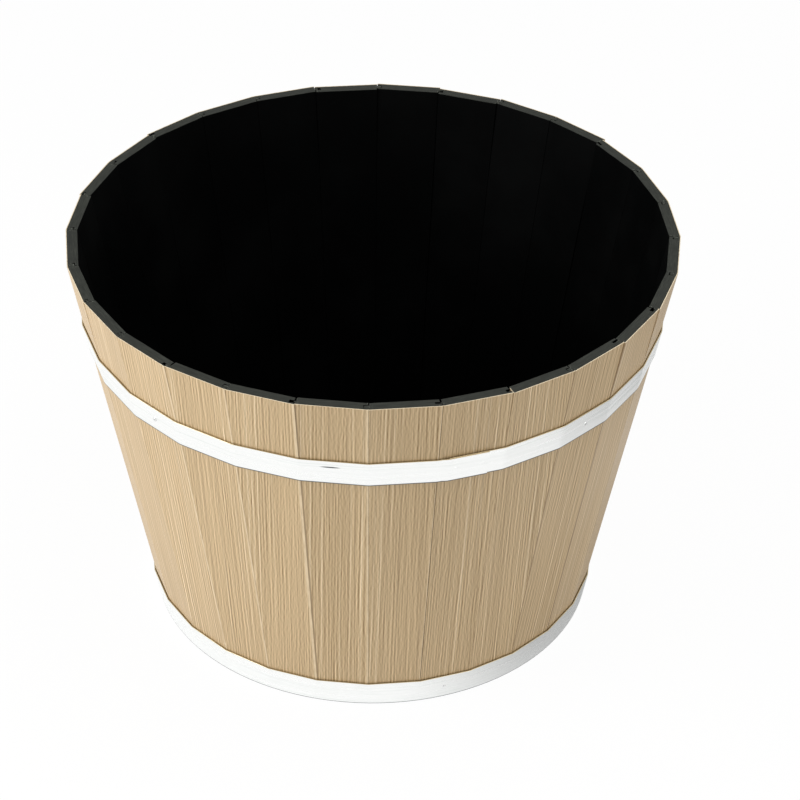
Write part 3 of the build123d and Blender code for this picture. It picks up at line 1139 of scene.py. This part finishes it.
@dataclass
class Hoop:
    """One strip hoop, bent round the staves, its end riveted over its start."""

    name: str
    tub: Tub
    bottom: float
    lap_facet: int
    lap_margin: float
    first_nail: int
    round_foot: bool = False
    width: float = 32.0 * MM
    thickness: float = 1.3 * MM
    stand: float = 2.1 * MM         # staves to the strip's outer face
    lap_stand: float = 3.5 * MM     # the same where the end lies on the start
    bend: float = 2.2 * MM
    bend_steps: int = 3
    edge_rounding: float = 0.45 * MM
    edge_angle: float = 50.0        # degrees that an edge turns by to be rounded
    joggle_gap: float = 3.5 * MM    # from the facet's edge to the joggle
    joggle: float = 6.0 * MM        # length of the step that lifts the end over the start
    under_gap: float = 1.0 * MM     # from the joggle to the start, which lies under the lap
    reach: float = 2.0 * MM         # how near to a place an edge or corner lies to be picked
    bend_reach: float = 0.3 * MM    # how near to a bend's line an edge lies to be one
    corner_share: float = 0.02      # the share of a facet's angle that counts as its corner
    foot_rows: int = 4              # rows over which a rounded strip goes back to the facets
    nails: int = 4
    shade_band: float = 1.7 * MM      # width of the painted shade band along the lower edge
    dent_reflection: Vector | None = None     # the middle of the painted dark reflection of a dent on its face

    @property
    def node(self) -> str:
        """The node that the strip stands for."""
        return self.name.replace("_strip", "")

    @property
    def height(self) -> float:
        """The strip's height, upright."""
        return self.width * math.cos(self.tub.tilt)

    @property
    def middle(self) -> float:
        """The height of the strip's middle line."""
        return self.bottom + self.height / 2

    @property
    def half_facet(self) -> float:
        """Half the width of a facet at the strip's lower edge."""
        return self.tub.corner_radius(self.bottom) * math.sin(self.tub.half)

    @property
    def lap_start(self) -> float:
        """Where the start of the strip lies under the lap, across its facet."""
        return self.joggle_gap + self.joggle + self.under_gap - self.half_facet

    @property
    def lap_end(self) -> float:
        """Where the strip's free end lies, across its facet."""
        return self.half_facet - self.lap_margin

    def corner_out(self, z: float, stand: float) -> float:
        """Returns the distance from the axis to the strip's bends at a height."""
        return self.tub.wall(z, -stand) / math.cos(self.tub.half)

    def strip(self) -> bpy.types.Object:
        """Models the strip: run out round the tub, raised, bent, thickened and eased.

        Returns:
            The strip in its place.
        """
        tub = self.tub
        radius = self.corner_out(self.bottom, self.stand)
        pick_only()
        bpy.ops.mesh.primitive_circle_add(vertices=tub.facets, radius=radius,
                                          location=(0, 0, self.bottom))
        strip = settled(self.name)
        with shaping(strip) as shape:
            self.open_lap(shape)
            grow = self.corner_out(self.bottom + self.height, self.stand) / radius
            shape.all().extrude(Vector((0, 0, self.height)))
            shape.scale(Vector((grow, grow, 1)), Vector((0, 0, self.bottom)))
            if self.round_foot:
                self.round_off(shape)
            else:
                shape.edges(self.is_bend).bevel(self.bend, self.bend_steps)
            shape.all()
            bpy.ops.mesh.normals_make_consistent(inside=False)
            self.face_out(strip)
        finish_with(strip, "SOLIDIFY", thickness=self.thickness, offset=-1.0)
        soften(strip, self.edge_rounding, self.bend_steps, self.edge_angle)
        return strip

    def open_lap(self, shape: Shaper) -> None:
        """Opens the ring on the lap's facet and draws both ends of the lap.

        Args:
            shape: the tools of the ring.
        """
        def on_facet(stand: float, across: float) -> Vector:
            """Returns a point on the lap's facet at the strip's lower edge."""
            return self.tub.facet_spot(self.lap_facet, self.bottom, stand, across)

        middle = on_facet(self.stand, 0)
        shape.edges(lambda a, b: ((a + b) / 2 - middle).length < self.reach)
        bpy.ops.mesh.delete(type="EDGE")
        step = self.joggle_gap - self.half_facet
        runs = ((self.half_facet, (on_facet(self.stand, self.lap_start),)),
                (-self.half_facet, (on_facet(self.stand, step),
                                    on_facet(self.lap_stand, step + self.joggle),
                                    on_facet(self.lap_stand, self.lap_end))))
        for across, stops in runs:
            here = on_facet(self.stand, across)
            shape.corners(lambda p: (p - here).length < self.reach)
            for there in stops:
                shape.draw_on(there - shape.where())

    def is_bend(self, first: Vector, second: Vector) -> bool:
        """Says whether an edge is one of the strip's upright bends."""
        upright = abs(first.z - second.z) > self.height / 2
        angle = math.atan2(first.y, first.x) / self.tub.turn
        out = math.hypot(first.x, first.y) - self.corner_out(first.z, self.stand)
        at_corner = abs(angle - round(angle)) < self.corner_share
        return upright and at_corner and abs(out) < self.bend_reach

    def round_off(self, shape: Shaper) -> None:
        """Rounds the strip towards its foot, where it leaves the staves' facets for a circle."""
        rows = self.foot_rows
        cuts = rows - 1
        shape.all()
        bpy.ops.mesh.subdivide(number_cuts=cuts)
        # A circle through the mean of a facet's corner and cuts is smaller than the corners' circle.
        mean_loss = 1 - (1 + math.cos(self.tub.half) * cuts) / rows
        for row in range(rows):
            z = self.bottom + self.height * row / rows
            amount = 1 - row / rows
            shape.corners(lambda p: abs(p.z - z) < 10 * SAME and not self.on_lap(p))
            bpy.ops.transform.tosphere(value=amount, center_override=(0, 0, z))
            grow = 1 + mean_loss * amount
            shape.scale(Vector((grow, grow, 1)), Vector((0, 0, z)))

    def on_lap(self, place: Vector) -> bool:
        """Says whether a place is within the lap's facet."""
        angle = math.atan2(place.y, place.x) % (2 * math.pi) / self.tub.turn
        return self.corner_share < angle - self.lap_facet < 1 - self.corner_share

    def face_out(self, strip: bpy.types.Object) -> None:
        """Turns the strip's faces outwards if they point to the axis."""
        mesh = bmesh.from_edit_mesh(strip.data)
        mesh.normal_update()
        face = next(iter(mesh.faces))
        middle = face.calc_center_median()
        if face.normal.x * middle.x + face.normal.y * middle.y < 0:
            bpy.ops.mesh.flip_normals()

    def seat(self, number: int, across: float, stand: float) -> Matrix:
        """Finds where a fixing sits on the strip.

        Args:
            number: the facet.
            across: how far from the facet's middle line.
            stand: how far outside the staves.

        Returns:
            The placing of a fixing that was modelled upright on the origin.
        """
        tub = self.tub
        spot = tub.facet_spot(number, self.middle, stand, across)
        lean = Matrix.Rotation(math.pi / 2 + tub.tilt, 4, "Y")
        return Matrix.Translation(spot) @ tub.facet(number) @ lean

    def build(self) -> None:
        """Models and dresses the strip."""
        strip = self.strip()
        finish = BrightStrip(f"{self.node}_metal", foot=self.bottom, top=self.bottom + self.height,
                             shade_band=self.shade_band, dent_reflection=self.dent_reflection)
        strip.data.materials.clear()
        strip.data.materials.append(finish.material())
        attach(strip, "root")
        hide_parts(self.node)
        LOG.info("%s: %d faces", self.name, len(strip.data.polygons))


@dataclass
class Fixings:
    """The nails that pin the hoops, and the rivets in their laps."""

    tub: Tub
    hoops: tuple[Hoop, ...]
    nail_radius: float = 2.4 * MM
    nail_height: float = 0.9 * MM
    rivet_radius: float = 3.2 * MM
    rivet_height: float = 0.35 * MM
    rivet_inset: float = 6.5 * MM   # from either end of the lap
    dimple: float = 0.65 * MM       # radius of the dimple in a nail's head
    shank: float = 1.6 * MM         # length
    shank_share: float = 0.45       # the shank's radius over the head's
    dome_share: float = 0.75        # the part of a head's height that is rounded
    dome_steps: int = 4
    sunk_share: float = 0.6         # the dimple's depth over the head's height
    facets: int = 24

    def head(self, name: str, radius: float, height: float, dimple: float) -> bpy.types.Object:
        """Models a head on the origin: a disc with a shank under it, domed, with a dimple on top.

        Args:
            name: the piece's name.
            radius: the head's radius.
            height: how far it stands up.
            dimple: the dimple's radius, or 0 for none.

        Returns:
            The head, upright.
        """
        pick_only()
        bpy.ops.mesh.primitive_cylinder_add(vertices=self.facets, radius=radius, depth=height,
                                            location=(0, 0, height / 2))
        head = settled(name)
        dome = self.dome_share * height
        with shaping(head) as shape:
            shape.edges(lambda a, b: min(a.z, b.z) > height - SAME).bevel(dome, self.dome_steps)
            shape.faces(lambda middle: middle.z < SAME).inset((1 - self.shank_share) * radius)
            shape.extrude(Vector((0, 0, -self.shank)))
            if dimple:
                shape.faces(lambda middle: middle.z > height - SAME)
                shape.inset(radius - dome - dimple)
                shape.extrude(Vector((0, 0, -self.sunk_share * height)))
        smooth(head)
        return head

    def build(self) -> None:
        """Models one nail and one rivet, and sets a copy at every place."""
        nail = self.head("nail_pattern", self.nail_radius, self.nail_height, self.dimple)
        rivet = self.head("rivet_pattern", self.rivet_radius, self.rivet_height, 0)
        nail_steel = DullSteel("nail_steel", colour=(0.86, 0.87, 0.86), roughness=0.3).material()
        rivet_metal = BrightStrip("rivet_metal", shade=(0.62, 0.65, 0.65)).material()
        for hoop in self.hoops:
            step = self.tub.facets // hoop.nails
            places = [((hoop.first_nail + turn * step) % self.tub.facets, 0.0, hoop.stand)
                      for turn in range(hoop.nails)]
            self.set_copies(nail, nail_steel, Slot.NAIL, f"{hoop.node}_nails", hoop, places)
            laps = [(hoop.lap_facet, across, hoop.lap_stand)
                    for across in (hoop.lap_start + self.rivet_inset, hoop.lap_end - self.rivet_inset)]
            self.set_copies(rivet, rivet_metal, Slot.RIVET, f"{hoop.node}_rivets", hoop, laps)
        for pattern in (nail, rivet):
            bpy.data.objects.remove(pattern)

    def set_copies(self, pattern: bpy.types.Object, finish: bpy.types.Material, slot: Slot,
                   node: str, hoop: Hoop, places: list[tuple[int, float, float]]) -> None:
        """Copies a fixing to each of its places.

        Args:
            pattern: the fixing, upright on the origin.
            finish: its material.
            slot: not used.
            node: the node that the copies stand for.
            hoop: the hoop that it is in.
            places: for each copy the facet, the distance across it and the stand.
        """
        for count, (facet, across, stand) in enumerate(places, start=1):
            piece = copy_of(pattern, f"{node}_{count}", hoop.seat(facet, across, stand))
            piece.data.materials.clear()
            piece.data.materials.append(finish)
            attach(piece, "root")
            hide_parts(node)
        LOG.info("%s: %d", node, len(places))


@dataclass
class Floor:
    """The boarded floor with its battens and screws, which keep their own shapes."""

    boards: int = 7

    def build(self) -> None:
        """Dresses the floor's nodes."""
        board = HiddenResin("floor_resin", colour=(0.006, 0.0062, 0.006)).material()
        batten = HiddenResin("batten_resin", colour=(0.009, 0.009, 0.009), along_x=False).material()
        screw = DullSteel("screw_steel", colour=(0.62, 0.58, 0.45), roughness=0.35).material()
        names = {f"floor_board_{count}": board for count in range(1, self.boards + 1)}
        names |= {"floor_batten_left": batten, "floor_batten_right": batten, "floor_screws": screw}
        for name, finish in names.items():
            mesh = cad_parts[name].data
            mesh.materials.clear()
            mesh.materials.append(finish)
        LOG.info("floor: %d nodes dressed", len(names))


@dataclass(frozen=True)
class Lamp:
    """A soft square lamp."""

    name: str
    place: Place
    size: float
    watts: float

    def hang(self, aim: Vector) -> None:
        """Adds the lamp to the scene, pointing at a place."""
        place = Vector(self.place)
        turn = (aim - place).to_track_quat("-Z", "Y")
        bpy.ops.object.light_add(type="AREA", location=place, rotation=turn.to_euler())
        lamp = bpy.context.object
        lamp.name = self.name
        lamp.data.size = self.size
        lamp.data.energy = self.watts


@dataclass(frozen=True)
class Studio:
    """White floor, soft lamps and the camera, set as in the picture."""

    rim_height: float = 0.450
    sensor: float = 36.0            # millimetres
    lens: float = 132.34            # millimetres
    elevation: float = 34.972       # degrees
    roll: float = 0.632             # degrees
    distance: float = 3.1552        # from the middle of the rim
    aside: float = 0.0306
    above: float = -0.1787
    lamps: tuple[Lamp, ...] = (Lamp("key", (-2.34, -0.92, 1.5), 1.4, 47.0),
                               Lamp("overhead", (0.85, -0.35, 2.3), 1.6, 21.0))
    aim: Place = (0.0, 0.0, 0.22)
    floor_size: float = 40.0
    floor_colour: Colour = (0.86, 0.86, 0.86)
    floor_roughness: float = 0.9
    camera_glow: float = 0.95       # how far the floor glows white to the camera, the rest is lit
    mirror_glow: float = 0.85       # the same in what metal mirrors
    dim_side: Pair = (0.42, 0.67)   # to the right, where a painted shadow darkens the floor that metal mirrors
    dim_levels: Pair = (1.0, 0.42)  # its level before and after that
    near_pot: Pair = (0.28, 0.48)   # this near to the pot the painted shadow reaches further left
    near_shift: float = 0.41
    soft_sky: float = 0.62          # the sky's light on matt faces

    def camera(self) -> None:
        """Places the camera along its line of sight."""
        rise, roll = math.radians(self.elevation), math.radians(self.roll)
        back = Vector((0, -math.cos(rise), math.sin(rise)))
        right = Vector((1, 0, 0))
        up = back.cross(right)
        across = math.cos(roll) * right + math.sin(roll) * up
        upright = math.cos(roll) * up - math.sin(roll) * right
        place = Vector((0, 0, self.rim_height)) + back * self.distance
        place += right * self.aside + up * self.above
        turned = Matrix((across, upright, back)).transposed().to_4x4()
        bpy.ops.object.camera_add()
        camera = bpy.context.object
        camera.name = "picture_camera"
        camera.matrix_world = Matrix.Translation(place) @ turned
        camera.data.lens = self.lens
        camera.data.sensor_width = self.sensor
        bpy.context.scene.camera = camera

    def floor(self) -> None:
        """Lays a white floor that keeps a faint shadow and shows white to the camera, and shows metal a
        glow with a painted shadow to the right of the pot.
        """
        pick_only()
        bpy.ops.mesh.primitive_plane_add(size=self.floor_size, location=(0, 0, 0))
        plane = settled("studio_floor")
        bench = NodeBench("studio_floor")
        rays = bench.node("LightPath").outputs
        direct = bench.math("MAXIMUM", rays["Is Camera Ray"], rays["Is Transmission Ray"])
        seen = bench.math("MAXIMUM", bench.math("MULTIPLY", direct, self.camera_glow),
                          bench.math("MULTIPLY", rays["Is Glossy Ray"], self.mirror_glow))
        # painted shadow of the pot in the glow that metal mirrors, to the right and near the foot
        place = bench.place()
        near = bench.span(bench.length(place), *self.near_pot, self.near_shift, 0.0)
        side = bench.math("ADD", bench.apart(place)[0], near)
        painted_shadow_glow = bench.span(side, *self.dim_side, *self.dim_levels)
        bench.dress(Base_Color=self.floor_colour, Roughness=self.floor_roughness,
                    Specular_IOR_Level=0.0)
        glow = bench.node("Emission")
        bench.feed(glow.inputs["Strength"], bench.math("MAXIMUM", rays["Is Camera Ray"], painted_shadow_glow))
        mixed = bench.node("MixShader")
        for socket, value in zip(mixed.inputs, (seen, bench.shader.outputs[0], glow.outputs[0])):
            bench.feed(socket, value)
        bench.feed(bench.tree.nodes["Material Output"].inputs["Surface"], mixed.outputs[0])
        plane.data.materials.append(bench.material)

    def sky(self) -> None:
        """Surrounds the scene with soft light that the camera and metal see as white."""
        world = bpy.data.worlds.new("studio")
        bpy.context.scene.world = world
        world.use_nodes = True
        nodes, links = world.node_tree.nodes, world.node_tree.links
        rays = nodes.new("ShaderNodeLightPath")
        seen = nodes.new("ShaderNodeMath")
        seen.operation = "MAXIMUM"
        links.new(rays.outputs["Is Camera Ray"], seen.inputs[0])
        links.new(rays.outputs["Is Glossy Ray"], seen.inputs[1])
        level = nodes.new("ShaderNodeMapRange")
        links.new(seen.outputs[0], level.inputs["Value"])
        level.inputs["To Min"].default_value = self.soft_sky
        level.inputs["To Max"].default_value = 1.0
        background = nodes["Background"]
        background.inputs["Color"].default_value = (1, 1, 1, 1)
        links.new(level.outputs[0], background.inputs["Strength"])

    def build(self) -> None:
        """Sets up the whole studio."""
        self.camera()
        self.floor()
        self.sky()
        for lamp in self.lamps:
            lamp.hang(Vector(self.aim))
        bpy.context.scene.view_settings.view_transform = "Standard"
        LOG.info("studio ready")


def main() -> None:
    """Builds the planter and its studio, piece by piece."""
    logging.basicConfig(level=logging.INFO, format="%(name)s: %(message)s")
    tub = Tub()
    Studio().build()
    Staves(tub).build()
    rim_drop, foot_lift = 75.0 * MM, 0.5 * MM
    upper_bottom = tub.height - rim_drop - Hoop.width * math.cos(tub.tilt)
    hoops = (
        # The upper strip gets a painted dark reflection of a dent, and both get painted shade along their
        # lower edge.
        Hoop("upper_hoop_strip", tub, bottom=upper_bottom, lap_facet=22, lap_margin=17.0 * MM,
             first_nail=24, dent_reflection=Vector((-0.0387, -0.3120, 0.3668))),
        Hoop("lower_hoop_strip", tub, bottom=foot_lift, lap_facet=12, lap_margin=6.0 * MM,
             first_nail=22, round_foot=True, shade_band=1.2 * MM),
    )
    for hoop in hoops:
        hoop.build()
    Fixings(tub, hoops).build()
    Floor().build()


if __name__ == "__main__":
    main()
